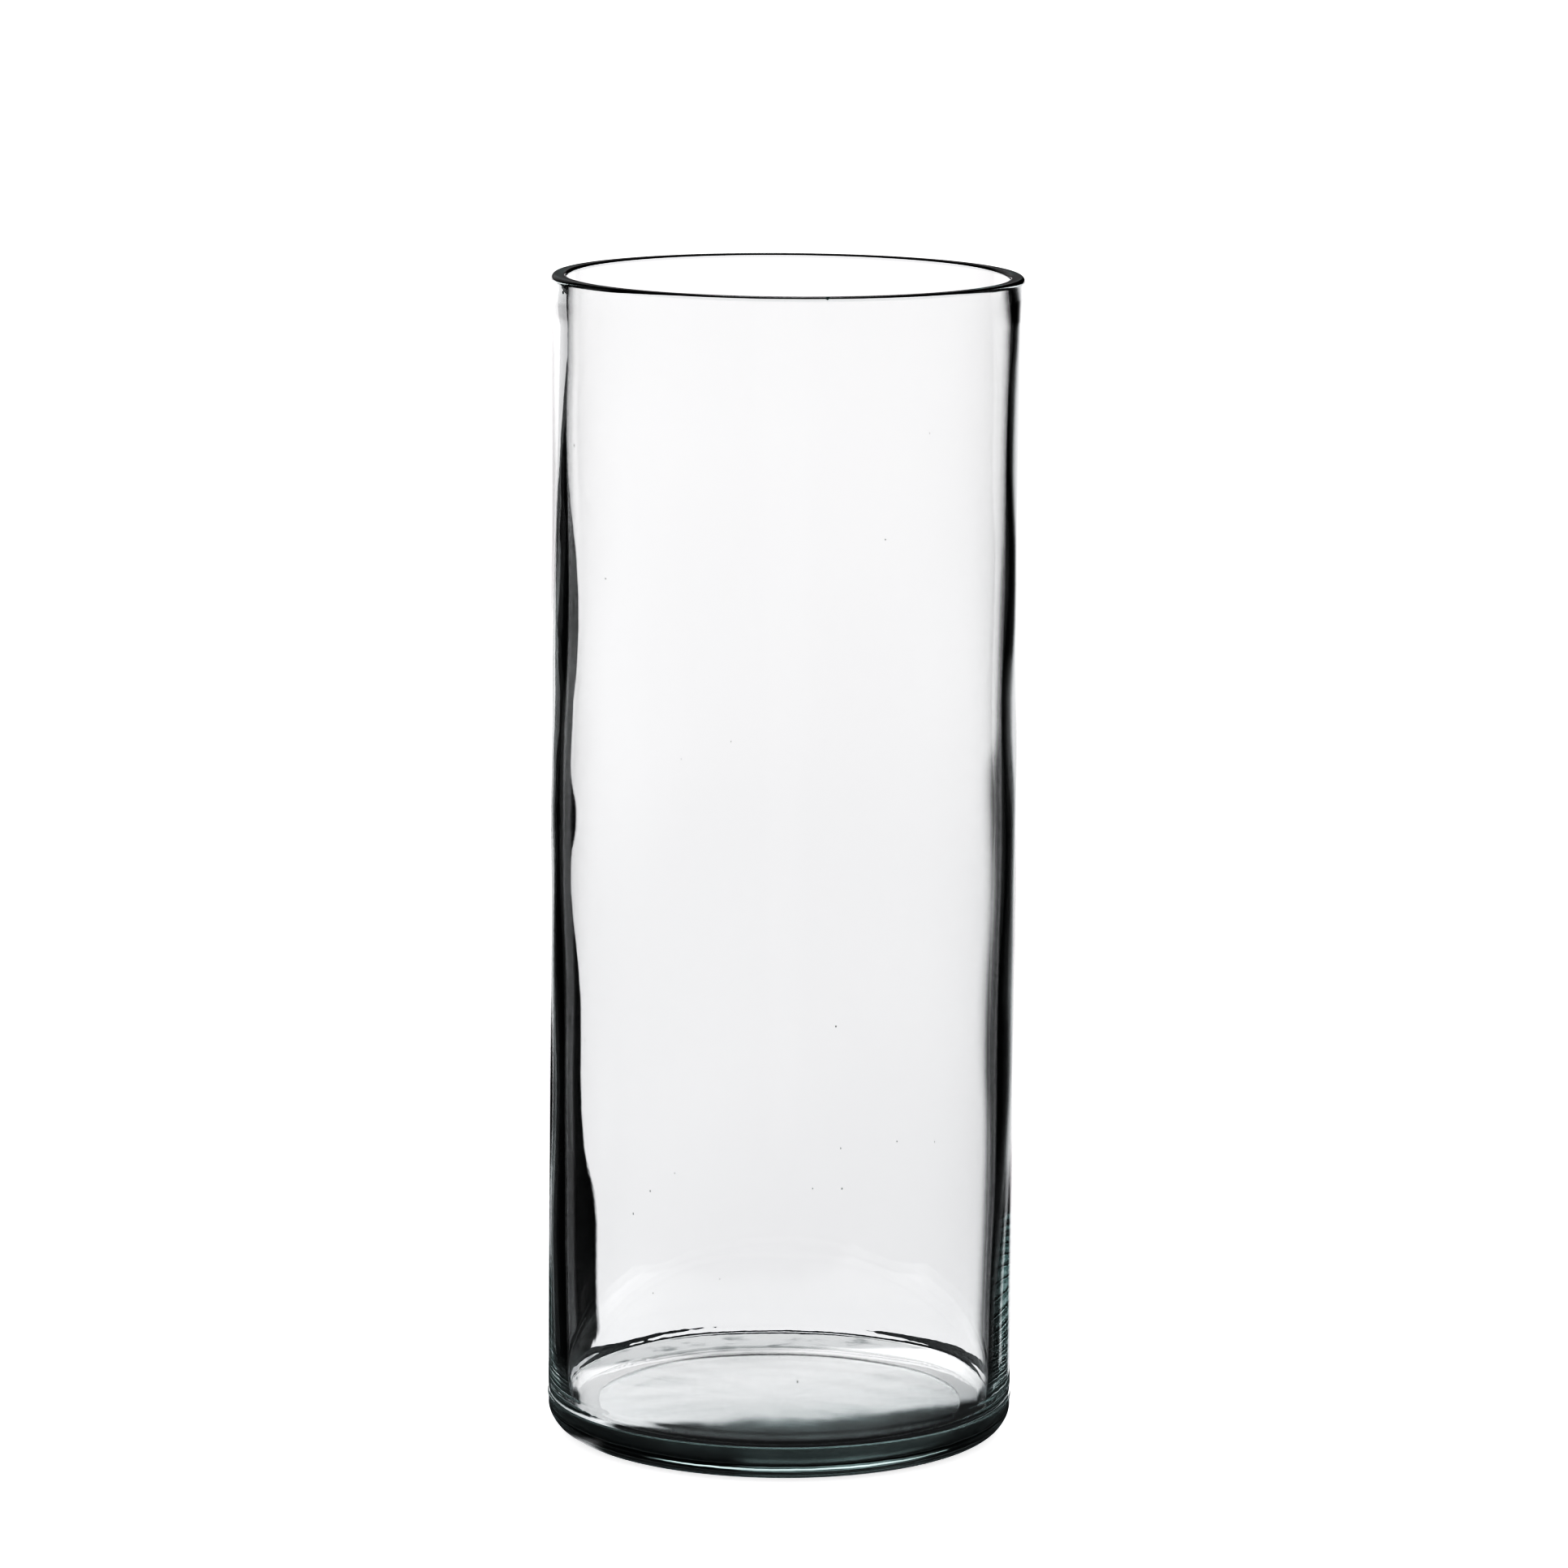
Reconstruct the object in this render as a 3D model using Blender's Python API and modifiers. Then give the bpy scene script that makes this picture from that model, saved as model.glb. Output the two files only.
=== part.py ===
"""Glass cylinder vase: one piece of clear soda-lime glass, a straight cylinder open at the top.

Units are metres, +Z is up. The origin is the middle of the circle that the vase stands on.
The whole body is one closed profile turned about Z. It runs from the middle of the floor out to
the wall, up the inside, over the rim, down the outside, round the heel and under the base.
"""

import math

import bpy

OBJECT_NAME = "glass_cylinder_vase"
NODE_NAME = "vase_body"

# Overall size
HEIGHT = 0.300
WALL_OUTER_RADIUS = 0.060
WALL_DRAFT = 0.0002  # how much smaller the outer radius is under the rim than above the foot

# Wall thickness
WALL_AT_RIM = 0.0038
WALL_AT_FOOT = 0.0046
FOOT_SWELL_HEIGHT = 0.070  # the wall thins by two thirds of the swell over this height

# Rim, its corners rounded by a flame and its outer edge a little proud of the outside
RIM_LIP = 0.0004
RIM_CORNER_RADIUS = 0.0012
RIM_END_DEG = -8.0  # where the outer corner's round section ends, below its widest point
RIM_BLEND_HEIGHT = 0.0120  # from the top down to where the outside is straight again

# Base
FLOOR_EDGE_HEIGHT = 0.0078  # the floor's height above the table at its edge
FLOOR_CROWN = 0.0010  # how much higher the middle of the floor is
FLOOR_FILLET_RADIUS = 0.0030
HEEL_RADIUS = 0.0075
SEAM_HEIGHT = 0.0098  # where the mould's bottom plate met its sides
SEAM_STEP = 0.0002  # how far the foot stands out below that line
SEAM_BLEND = 0.0006
STANDING_RING_WIDTH = 0.0042
PUSH_UP_HEIGHT = 0.0006  # the hollow under the middle of the base
PUSH_UP_POWER = 4  # how flat the hollow is in its middle

# Fineness
TURN_SEGMENTS = 72
RIM_STEPS = 4
HEEL_STEPS = 6
FILLET_STEPS = 5
FLOOR_STEPS = 3
WALL_STEPS = 5
PUSH_UP_STEPS = 5
MERGE_DISTANCE = 0.00001

# Places that follow from the sizes above
UNDER_RIM_RADIUS = WALL_OUTER_RADIUS - WALL_DRAFT
HEEL_OUTER_RADIUS = WALL_OUTER_RADIUS + SEAM_STEP
RIM_CORNER_HEIGHT = HEIGHT - RIM_CORNER_RADIUS
STANDING_RING_OUTER = HEEL_OUTER_RADIUS - HEEL_RADIUS
STANDING_RING_INNER = STANDING_RING_OUTER - STANDING_RING_WIDTH
FILLET_TOP = FLOOR_EDGE_HEIGHT + FLOOR_FILLET_RADIUS


def arc(centre_r, centre_z, radius, start_deg, end_deg, steps):
    """Points of an arc in the profile's plane, both ends included, with 0 degrees pointing outwards."""
    angles = (math.radians(start_deg + (end_deg - start_deg) * i / steps) for i in range(steps + 1))
    return [(centre_r + radius * math.cos(a), centre_z + radius * math.sin(a)) for a in angles]


def outer_radius(z):
    """The outer radius of the straight wall at height z, drawn in evenly from the seam to the rim."""
    share = (z - SEAM_HEIGHT) / (HEIGHT - SEAM_HEIGHT)
    return WALL_OUTER_RADIUS - WALL_DRAFT * share


def wall_thickness(z):
    """The wall's thickness at height z: thickest above the floor's fillet, thinning towards the rim."""
    swell = math.exp(-(z - FILLET_TOP) / FOOT_SWELL_HEIGHT)
    return WALL_AT_RIM + (WALL_AT_FOOT - WALL_AT_RIM) * swell


def inner_radius(z):
    """The inner radius of the wall at height z."""
    return outer_radius(z) - wall_thickness(z)


def floor_profile():
    """The floor from its middle out, then the fillet up into the wall."""
    fillet_centre = inner_radius(FILLET_TOP) - FLOOR_FILLET_RADIUS
    points = []
    for i in range(FLOOR_STEPS):
        share = i / FLOOR_STEPS
        points.append((fillet_centre * share, FLOOR_EDGE_HEIGHT + FLOOR_CROWN * (1 - share**2)))
    return points + arc(fillet_centre, FILLET_TOP, FLOOR_FILLET_RADIUS, -90, 0, FILLET_STEPS)


def inner_wall_profile():
    """The inside of the wall from above the fillet to below the rim, closer together near the foot."""
    rise = RIM_CORNER_HEIGHT - FILLET_TOP
    heights = (FILLET_TOP + rise * (i / WALL_STEPS) ** 2 for i in range(1, WALL_STEPS))
    return [(inner_radius(z), z) for z in heights]


def rim_profile():
    """The rim from the inside, over its flat top, to the outside, and its blend back into the wall."""
    inner_r = inner_radius(RIM_CORNER_HEIGHT) + RIM_CORNER_RADIUS
    outer_r = UNDER_RIM_RADIUS + RIM_LIP - RIM_CORNER_RADIUS
    inner = arc(inner_r, RIM_CORNER_HEIGHT, RIM_CORNER_RADIUS, 180, 90, RIM_STEPS)
    outer = arc(outer_r, RIM_CORNER_HEIGHT, RIM_CORNER_RADIUS, 90, RIM_END_DEG, RIM_STEPS)
    blend_z = HEIGHT - RIM_BLEND_HEIGHT
    return inner + outer + [(outer_radius(blend_z), blend_z)]


def foot_profile():
    """The outside from the seam down round the heel to the standing ring's outer edge."""
    seam = [
        (outer_radius(SEAM_HEIGHT), SEAM_HEIGHT),
        (HEEL_OUTER_RADIUS, SEAM_HEIGHT - SEAM_BLEND),
    ]
    return seam + arc(STANDING_RING_OUTER, HEEL_RADIUS, HEEL_RADIUS, 0, -90, HEEL_STEPS)


def underside_profile():
    """The hollow under the base, from the standing ring's inner edge to the axis."""
    points = []
    for i in range(PUSH_UP_STEPS + 1):
        share = 1 - i / PUSH_UP_STEPS
        rise = PUSH_UP_HEIGHT * (1 - share**PUSH_UP_POWER)
        points.append((STANDING_RING_INNER * share, rise))
    return points


def vase_profile():
    """The whole half section, from the middle of the floor to the middle of the underside."""
    return (
        floor_profile()
        + inner_wall_profile()
        + rim_profile()
        + foot_profile()
        + underside_profile()
    )


def clear_scene():
    """Remove every object the file starts with."""
    for obj in list(bpy.data.objects):
        bpy.data.objects.remove(obj, do_unlink=True)


def clear_glass():
    """Clear soda-lime glass with the faint green of its iron."""
    material = bpy.data.materials.new("clear_glass")
    material.use_nodes = True
    shader = material.node_tree.nodes["Principled BSDF"]
    shader.inputs["Base Color"].default_value = (0.93, 0.97, 0.96, 1.0)
    shader.inputs["Metallic"].default_value = 0.0
    shader.inputs["Roughness"].default_value = 0.02
    shader.inputs["IOR"].default_value = 1.52
    shader.inputs["Transmission Weight"].default_value = 1.0
    return material


def turned_object(name, profile, material, collection):
    """A body of revolution about Z from a profile given as (radius, height) points."""
    mesh = bpy.data.meshes.new(name)
    edges = [(i, i + 1) for i in range(len(profile) - 1)]
    mesh.from_pydata([(r, 0.0, z) for r, z in profile], edges, [])
    mesh.materials.append(material)
    obj = bpy.data.objects.new(name, mesh)
    collection.objects.link(obj)

    turn = obj.modifiers.new("turn", "SCREW")
    turn.axis = "Z"
    turn.angle = math.tau
    turn.steps = TURN_SEGMENTS
    turn.render_steps = TURN_SEGMENTS
    turn.use_merge_vertices = True
    turn.merge_threshold = MERGE_DISTANCE
    turn.use_smooth_shade = True
    return obj


def main():
    """Build the vase in a collection of its own."""
    clear_scene()
    collection = bpy.data.collections.new(OBJECT_NAME)
    bpy.context.scene.collection.children.link(collection)
    turned_object(NODE_NAME, vase_profile(), clear_glass(), collection)


main()
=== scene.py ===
"""A clear glass cylinder vase on a pale studio floor.

The vase is one turned body of soda-lime glass. Its half section is drawn from arcs and straight
runs, a Geometry Nodes tree turns the section about Z, lets the surfaces ripple as moulded glass
does, and sets a few gas seeds in the wall. The studio is a pale floor in a white room. Three more
pieces are seen by the glass only: a light tent with a bright screen and dark flags, which draw
the edges of the glass, a bright sheet under the foot and a low dark collar round it. A tone curve
deepens the picture's dark tones.
"""

from __future__ import annotations

import logging
import math
from dataclasses import dataclass, field
from enum import Enum
from typing import ClassVar

import bpy
from bpy.types import (
    ColorManagedViewSettings,
    Material,
    Node,
    NodeOutputs,
    NodeSocket,
    NodeTree,
    NodesModifier,
    Object,
)
from mathutils import Euler, Matrix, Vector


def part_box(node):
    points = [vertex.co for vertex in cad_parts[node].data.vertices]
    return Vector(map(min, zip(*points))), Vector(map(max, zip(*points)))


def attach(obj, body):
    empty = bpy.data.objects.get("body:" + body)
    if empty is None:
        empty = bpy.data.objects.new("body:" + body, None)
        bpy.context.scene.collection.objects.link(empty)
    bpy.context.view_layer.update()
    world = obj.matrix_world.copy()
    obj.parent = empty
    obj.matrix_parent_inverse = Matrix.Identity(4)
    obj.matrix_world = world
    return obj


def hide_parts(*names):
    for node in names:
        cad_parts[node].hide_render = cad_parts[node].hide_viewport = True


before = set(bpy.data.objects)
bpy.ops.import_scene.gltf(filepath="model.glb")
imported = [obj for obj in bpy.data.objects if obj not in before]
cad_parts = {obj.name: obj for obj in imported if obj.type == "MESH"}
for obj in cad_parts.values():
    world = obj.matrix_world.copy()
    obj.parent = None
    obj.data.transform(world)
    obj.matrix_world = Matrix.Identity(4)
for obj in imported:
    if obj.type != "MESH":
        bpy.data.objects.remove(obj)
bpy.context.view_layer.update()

LOG = logging.getLogger("glass_vase")
MM = 0.001

Colour = tuple[float, float, float, float]
Socket = NodeSocket
Span = tuple[float, float]


class Blend(Enum):
    """How a value passes from one level to the next."""

    STRAIGHT = "LINEAR"
    SOFT = "SMOOTHSTEP"


class Seen(Enum):
    """Which rays meet a piece of the studio."""

    BY_CAMERA = "camera"
    BY_GLASS = "glass"


class Fields:
    """Short names for the maths and texture nodes that shader and geometry trees share."""

    def __init__(self, tree: NodeTree) -> None:
        """Keeps the tree that every node goes into.

        Args:
            tree: a shader or Geometry Nodes tree.
        """
        self.tree = tree

    def node(self, kind: str, inputs: object = (), **settings: object) -> Node:
        """Adds a node.

        Args:
            kind: the node's Blender type.
            inputs: what fills its inputs, by name or in order.
            **settings: properties to set on it first.

        Returns:
            The new node.
        """
        made = self.tree.nodes.new(kind)
        for name, value in settings.items():
            setattr(made, name, value)
        for key, value in inputs.items() if isinstance(inputs, dict) else enumerate(inputs):
            self.plug(made.inputs[key], value)
        return made

    def plug(self, socket: Socket, value: object) -> None:
        """Links a socket into another, or sets its value.

        Args:
            socket: the input to fill.
            value: an output socket, or a plain value.
        """
        if isinstance(value, Socket):
            self.tree.links.new(value, socket)
        else:
            socket.default_value = value

    def math(self, operation: str, *values: object) -> Socket:
        """Applies one Math operation.

        Args:
            operation: Blender's name for it, such as "ADD".
            *values: its inputs in order, sockets or numbers.

        Returns:
            The result's socket.
        """
        return self.node("ShaderNodeMath", values, operation=operation).outputs[0]

    def product(self, first: object, *others: object) -> Socket:
        """Multiplies numbers, from the left.

        Args:
            first: a number or its socket.
            *others: more of them.

        Returns:
            The product's socket.
        """
        for other in others:
            first = self.math("MULTIPLY", first, other)
        return first

    def from_axis(self, x: Socket, y: Socket) -> Socket:
        """The distance from the Z axis of a place with this x and y."""
        return self.math("SQRT", self.math("ADD", self.product(x, x), self.product(y, y)))

    def about_axis(self, radius: Socket, angle: Socket, height: Socket) -> Socket:
        """A place at a radius, an angle about Z and a height.

        Args:
            radius: how far from the axis.
            angle: in radians.
            height: how high.

        Returns:
            The place's socket.
        """
        x = self.product(radius, self.math("COSINE", angle))
        y = self.product(radius, self.math("SINE", angle))
        return self.joined(x, y, height)

    def vector_math(self, operation: str, *values: object) -> Socket:
        """Applies one Vector Math operation.

        Args:
            operation: Blender's name for it, such as "NORMALIZE".
            *values: its inputs in order, sockets or vectors.

        Returns:
            The vector's socket.
        """
        return self.node("ShaderNodeVectorMath", values, operation=operation).outputs[0]

    def scaled(self, vector: Socket, factor: Socket) -> Socket:
        """A vector multiplied by a number."""
        inputs = {0: vector, "Scale": factor}
        return self.node("ShaderNodeVectorMath", inputs, operation="SCALE").outputs[0]

    def split(self, vector: Socket) -> list[Socket]:
        """The sockets of a vector's x, y and z."""
        return list(self.node("ShaderNodeSeparateXYZ", (vector,)).outputs)

    def joined(self, x: object, y: object, z: object) -> Socket:
        """Joins three numbers into a vector.

        Args:
            x: the first number or socket.
            y: the second.
            z: the third.

        Returns:
            The vector's socket.
        """
        return self.node("ShaderNodeCombineXYZ", (x, y, z)).outputs[0]

    def ramp(
        self,
        value: object,
        start: float,
        end: float,
        low: object = 0.0,
        high: object = 1.0,
        blend: Blend = Blend.SOFT,
    ) -> Socket:
        """Passes from low to high as value goes from start to end, and holds outside that.

        Args:
            value: what drives the ramp.
            start: where it leaves low.
            end: where it reaches high, which may be below start.
            low: the level before start.
            high: the level past end.
            blend: straight or soft.

        Returns:
            The level's socket.
        """
        names = ("Value", "From Min", "From Max", "To Min", "To Max")
        inputs = dict(zip(names, (value, start, end, low, high)))
        node = self.node("ShaderNodeMapRange", inputs, interpolation_type=blend.value)
        return node.outputs[0]

    def curve(
        self, value: object, points: tuple[Span, ...], low: float, high: float
    ) -> Socket:
        """Reads a smooth curve drawn through points.

        Args:
            value: where along the curve.
            points: (value, level) pairs, values rising.
            low: the lowest level the curve may have.
            high: the highest.

        Returns:
            The level's socket.
        """
        first, last = points[0][0], points[-1][0]
        node = self.node("ShaderNodeFloatCurve")
        drawn = node.mapping.curves[0].points
        while len(drawn) < len(points):
            drawn.new(0.5, 0.5)
        for point, (x, y) in zip(drawn, points):
            point.location = ((x - first) / (last - first), (y - low) / (high - low))
        node.mapping.update()
        self.plug(node.inputs["Value"], self.ramp(value, first, last, blend=Blend.STRAIGHT))
        return self.math("MULTIPLY_ADD", node.outputs[0], high - low, low)

    def noise(
        self, vector: object, scale: float, seed: float, detail: float = 1.0
    ) -> Socket:
        """A smooth noise from about -1 to 1.

        Args:
            vector: where it is read.
            scale: its waves per unit of vector.
            seed: picks one noise out of many.
            detail: how much finer noise is laid over it.

        Returns:
            The noise's socket.
        """
        inputs = {"Vector": vector, "W": seed, "Scale": scale, "Detail": detail}
        node = self.node("ShaderNodeTexNoise", inputs, noise_dimensions="4D")
        return self.math("MULTIPLY_ADD", node.outputs[0], 2.0, -1.0)

    def mixed_colour(self, share: object, first: object, second: object) -> Socket:
        """Mixes two colours.

        Args:
            share: how much of the second.
            first: a colour or its socket.
            second: another.

        Returns:
            The mixed colour's socket.
        """
        inputs = {"Factor": share, "A": first, "B": second}
        return self.node("ShaderNodeMix", inputs, data_type="RGBA").outputs["Result"]


def bare_material(name: str) -> tuple[Material, Fields, Node]:
    """Makes a node material with nothing in it but its output.

    Args:
        name: the material's name.

    Returns:
        The material, its fields and its output node.
    """
    material = bpy.data.materials.new(name)
    material.use_nodes = True
    material.node_tree.nodes.clear()
    fields = Fields(material.node_tree)
    return material, fields, fields.node("ShaderNodeOutputMaterial")


def give_light(fields: Fields, output: Node, colour: object) -> None:
    """Ends a material in light of its own.

    Args:
        fields: the material's fields.
        output: its output node.
        colour: the light's colour or socket.
    """
    light = fields.node("ShaderNodeEmission", {"Color": colour})
    fields.plug(output.inputs["Surface"], light.outputs[0])


def eased(share: float) -> float:
    """Eases a share in and out, from 0 to 1."""
    return share * share * (3 - 2 * share)


@dataclass(frozen=True)
class ClearGlass:
    """Clear moulded soda-lime glass: faint green in its depth, fine ripple and handling marks."""

    slot: str = "clear_glass"
    ior: float = 1.52
    depth_colour: Colour = (0.84, 0.91, 0.905, 1.0)
    depth_density: float = 24.0
    clean_roughness: float = 0.0
    smudge_roughness: float = 0.035
    smudge_scale: float = 30.0
    smudge_span: Span = (0.38, 0.75)
    base_roughness: float = 0.16
    base_span: Span = (5.0 * MM, 1.0 * MM)
    patch_scale: float = 120.0
    patch_height: float = 1.5 * MM
    ring_roughness: float = 0.75
    ring_span: Span = (1.2 * MM, 0.3 * MM)
    ring_fade: float = 2.0 * MM
    draw_line_scale: float = 260.0
    draw_line_stretch: float = 0.08
    draw_line_height: float = 1.1e-6
    peel_scale: float = 900.0
    peel_height: float = 0.35e-6

    def material(self, sizes: VaseSizes) -> Material:
        """Builds the glass.

        Args:
            sizes: the vase's sizes, which place the rougher parts of the base.

        Returns:
            The material.
        """
        material, fields, output = bare_material(self.slot)
        place = fields.node("ShaderNodeTexCoord").outputs["Object"]
        glass = fields.node(
            "ShaderNodeBsdfPrincipled",
            {
                "Base Color": (1.0, 1.0, 1.0, 1.0),
                "Transmission Weight": 1.0,
                "IOR": self.ior,
                "Roughness": self.roughness(fields, place, sizes),
                "Normal": self.surface(fields, place),
            },
        )
        depth = fields.node(
            "ShaderNodeVolumeAbsorption",
            {"Color": self.depth_colour, "Density": self.depth_density},
        )
        fields.plug(output.inputs["Surface"], glass.outputs[0])
        fields.plug(output.inputs["Volume"], depth.outputs[0])
        return material

    def roughness(self, fields: Fields, place: Socket, sizes: VaseSizes) -> Socket:
        """Roughness: nought on clean glass, more on smudges and the base, most on the ring.

        Args:
            fields: the material's fields.
            place: Object coordinates.
            sizes: the vase's sizes.

        Returns:
            The roughness socket.
        """
        cloud = fields.noise(place, self.smudge_scale, 4.0, 3.0)
        smudge = fields.ramp(cloud, *self.smudge_span, self.clean_roughness, self.smudge_roughness)
        x, y, z = fields.split(place)
        patches = fields.noise(place, self.patch_scale, 12.0, 2.0)
        patches = fields.product(patches, self.patch_height)
        low = fields.ramp(fields.math("ADD", z, patches), *self.base_span)
        under = fields.math("LESS_THAN", z, sizes.base_top)
        base = fields.product(low, under, self.base_roughness)
        ring = fields.product(
            fields.ramp(z, *self.ring_span),
            fields.ramp(
                fields.from_axis(x, y), sizes.ring_inner - self.ring_fade, sizes.ring_inner
            ),
            self.ring_roughness,
        )
        return fields.math("MAXIMUM", smudge, fields.math("MAXIMUM", base, ring))

    def surface(self, fields: Fields, place: Socket) -> Socket:
        """Fine relief: upright draw lines and a slight peel.

        Args:
            fields: the material's fields.
            place: Object coordinates.

        Returns:
            The normal's socket.
        """
        stretch = (1.0, 1.0, self.draw_line_stretch)
        upright = fields.vector_math("MULTIPLY", place, stretch)
        lines = fields.noise(upright, self.draw_line_scale, 1.5)
        peel = fields.noise(place, self.peel_scale, 6.5)
        relief = fields.product(lines, self.draw_line_height)
        relief = fields.math("MULTIPLY_ADD", peel, self.peel_height, relief)
        return fields.node("ShaderNodeBump", {"Distance": 1.0, "Height": relief}).outputs[0]


@dataclass(frozen=True)
class PaleFloor:
    """A matt, almost white studio floor, lit a little from below."""

    colour: Colour = (0.60, 0.60, 0.605, 1.0)
    glow: float = 0.75
    mottle: float = 0.01
    mottle_scale: float = 40.0

    def material(self) -> Material:
        """Builds the floor's finish.

        Returns:
            The material.
        """
        material, fields, output = bare_material("pale_floor")
        place = fields.node("ShaderNodeTexCoord").outputs["Object"]
        cloud = fields.noise(place, self.mottle_scale, 2.0, 3.0)
        tone = fields.ramp(cloud, -1.0, 1.0, 1.0 - self.mottle, 1.0 + self.mottle)
        shade = fields.vector_math("MULTIPLY", self.colour[:3], fields.joined(tone, tone, tone))
        matt = fields.node("ShaderNodeBsdfDiffuse", {"Color": shade})
        under = fields.node("ShaderNodeEmission", {"Strength": self.glow})
        both = fields.node("ShaderNodeAddShader", (matt.outputs[0], under.outputs[0]))
        fields.plug(output.inputs["Surface"], both.outputs[0])
        return material


@dataclass(frozen=True)
class TentLight:
    """The light tent's lining: a bright screen behind the vase, dark flags everywhere else.

    Angles are in degrees from the middle of the tent. Azimuth 0 is straight behind the vase and
    grows to the right, and elevation is above the horizon. Each side flag's edge is drawn as
    (elevation, azimuth) points.
    """

    top_colour: Colour = (1.165, 1.145, 1.155, 1.0)
    foot_colour: Colour = (0.985, 0.975, 0.990, 1.0)
    top_elevation: float = -5.5
    foot_elevation: float = -15.0
    left_flag: tuple[Span, ...] = (
        (-18.0, -9.0), (-14.2, -9.0), (-13.2, -9.8), (-12.2, -12.5), (-11.2, -14.5),
        (-10.5, -16.0), (-9.9, -15.8), (-9.2, -13.2), (-8.5, -16.2), (-7.6, -17.5),
        (-6.0, -27.0), (-4.0, -36.0),
    )
    right_flag: tuple[Span, ...] = (
        (-16.0, 20.0), (-14.5, 18.5), (-13.9, 18.0), (-13.2, 17.5), (-12.5, 17.5),
        (-11.9, 17.0), (-11.2, 15.5), (-10.5, 16.5), (-9.9, 16.5), (-9.2, 16.0), (-8.5, 16.5),
        (-7.9, 22.0), (-7.0, 26.0), (-6.0, 24.0), (-4.0, 22.0),
    )
    left_softness: float = 0.4
    right_softness: float = 5.0
    widest: float = 45.0
    upper_edge: float = 3.5
    gap_level: float = 0.20
    upper_softness: float = 1.0
    ceiling_level: float = 0.32
    ceiling_from: float = 8.0
    ceiling_to: float = 24.0
    ceiling_step: float = 1.5
    ceiling_softness: float = 3.0
    ceiling_overlap: float = 2.0
    ceiling_left: Span = (-40.0, -25.0)
    ceiling_right: Span = (9.0, 3.0)
    lower_edge: float = -31.0
    lower_softness: float = 1.5
    side_gain: float = 0.0016
    side_tilt: float = -0.004
    side_limit: float = 14.0
    fall_from: float = 10.0
    fall_to: float = 34.0
    fall_level: float = 0.45
    flag_colour: Colour = (0.004, 0.0042, 0.0045, 1.0)

    def material(self) -> Material:
        """Paints the lining.

        Returns:
            The material.
        """
        material, fields, output = bare_material("tent_lining")
        place = fields.node("ShaderNodeTexCoord").outputs["Object"]
        x, y, z = fields.split(fields.vector_math("NORMALIZE", place))
        azimuth = fields.math("DEGREES", fields.math("ARCTAN2", x, y))
        elevation = fields.math("DEGREES", fields.math("ARCSINE", z))
        shown = fields.math(
            "ADD",
            self.open_to_screen(fields, azimuth, elevation),
            self.ceiling(fields, azimuth, elevation),
        )
        screen = self.screen(fields, azimuth, elevation)
        give_light(fields, output, fields.mixed_colour(shown, self.flag_colour, screen))
        return material

    def screen(self, fields: Fields, azimuth: Socket, elevation: Socket) -> Socket:
        """The screen's colour: it falls off towards its foot and gains a little towards its sides.

        Args:
            fields: the material's fields.
            azimuth: degrees to the right.
            elevation: degrees up.

        Returns:
            The colour's socket.
        """
        down = fields.ramp(elevation, self.top_elevation, self.foot_elevation, blend=Blend.STRAIGHT)
        colour = fields.mixed_colour(down, self.top_colour, self.foot_colour)
        near = fields.math("MAXIMUM", azimuth, -self.side_limit)
        near = fields.math("MINIMUM", near, self.side_limit)
        bowl = fields.product(near, near, self.side_gain)
        gain = fields.math("ADD", fields.math("MULTIPLY_ADD", near, self.side_tilt, bowl), 1.0)
        out_of_centre = fields.math("ABSOLUTE", azimuth)
        fall = fields.ramp(out_of_centre, self.fall_from, self.fall_to, 1.0, self.fall_level)
        return fields.scaled(colour, fields.product(gain, fall))

    def ceiling(self, fields: Fields, azimuth: Socket, elevation: Socket) -> Socket:
        """A dimmer patch above the screen, which the vase's floor mirrors.

        Args:
            fields: the material's fields.
            azimuth: degrees to the right.
            elevation: degrees up.

        Returns:
            The patch's level.
        """
        start, end = self.ceiling_from, self.ceiling_to
        step, soft = self.ceiling_step, self.ceiling_softness
        level = fields.ramp(
            elevation, start - step, start + step, self.gap_level, self.ceiling_level
        )
        bottom = fields.ramp(elevation, self.upper_edge - self.ceiling_overlap, self.upper_edge)
        top = fields.ramp(elevation, end + soft, end - soft)
        left = fields.ramp(azimuth, *self.ceiling_left)
        right = fields.ramp(azimuth, *self.ceiling_right)
        patch = fields.product(fields.product(bottom, top), fields.product(left, right))
        return fields.product(patch, level)

    def open_to_screen(self, fields: Fields, azimuth: Socket, elevation: Socket) -> Socket:
        """Where the bright screen shows between the flags.

        Args:
            fields: the material's fields.
            azimuth: degrees to the right.
            elevation: degrees up.

        Returns:
            A socket that is 1 on the screen and 0 on the flags.
        """
        left = fields.curve(elevation, self.left_flag, -self.widest, self.widest)
        right = fields.curve(elevation, self.right_flag, -self.widest, self.widest)
        soft = self.left_softness
        from_left = fields.ramp(fields.math("SUBTRACT", azimuth, left), -soft, soft)
        soft = self.right_softness
        from_right = fields.ramp(fields.math("SUBTRACT", azimuth, right), soft, -soft)
        edge, soft = self.upper_edge, self.upper_softness
        from_top = fields.ramp(elevation, edge + soft, edge - soft)
        edge, soft = self.lower_edge, self.lower_softness
        from_foot = fields.ramp(elevation, edge - soft, edge + soft)
        sides = fields.product(from_left, from_right)
        return fields.product(sides, fields.product(from_top, from_foot))


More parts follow.
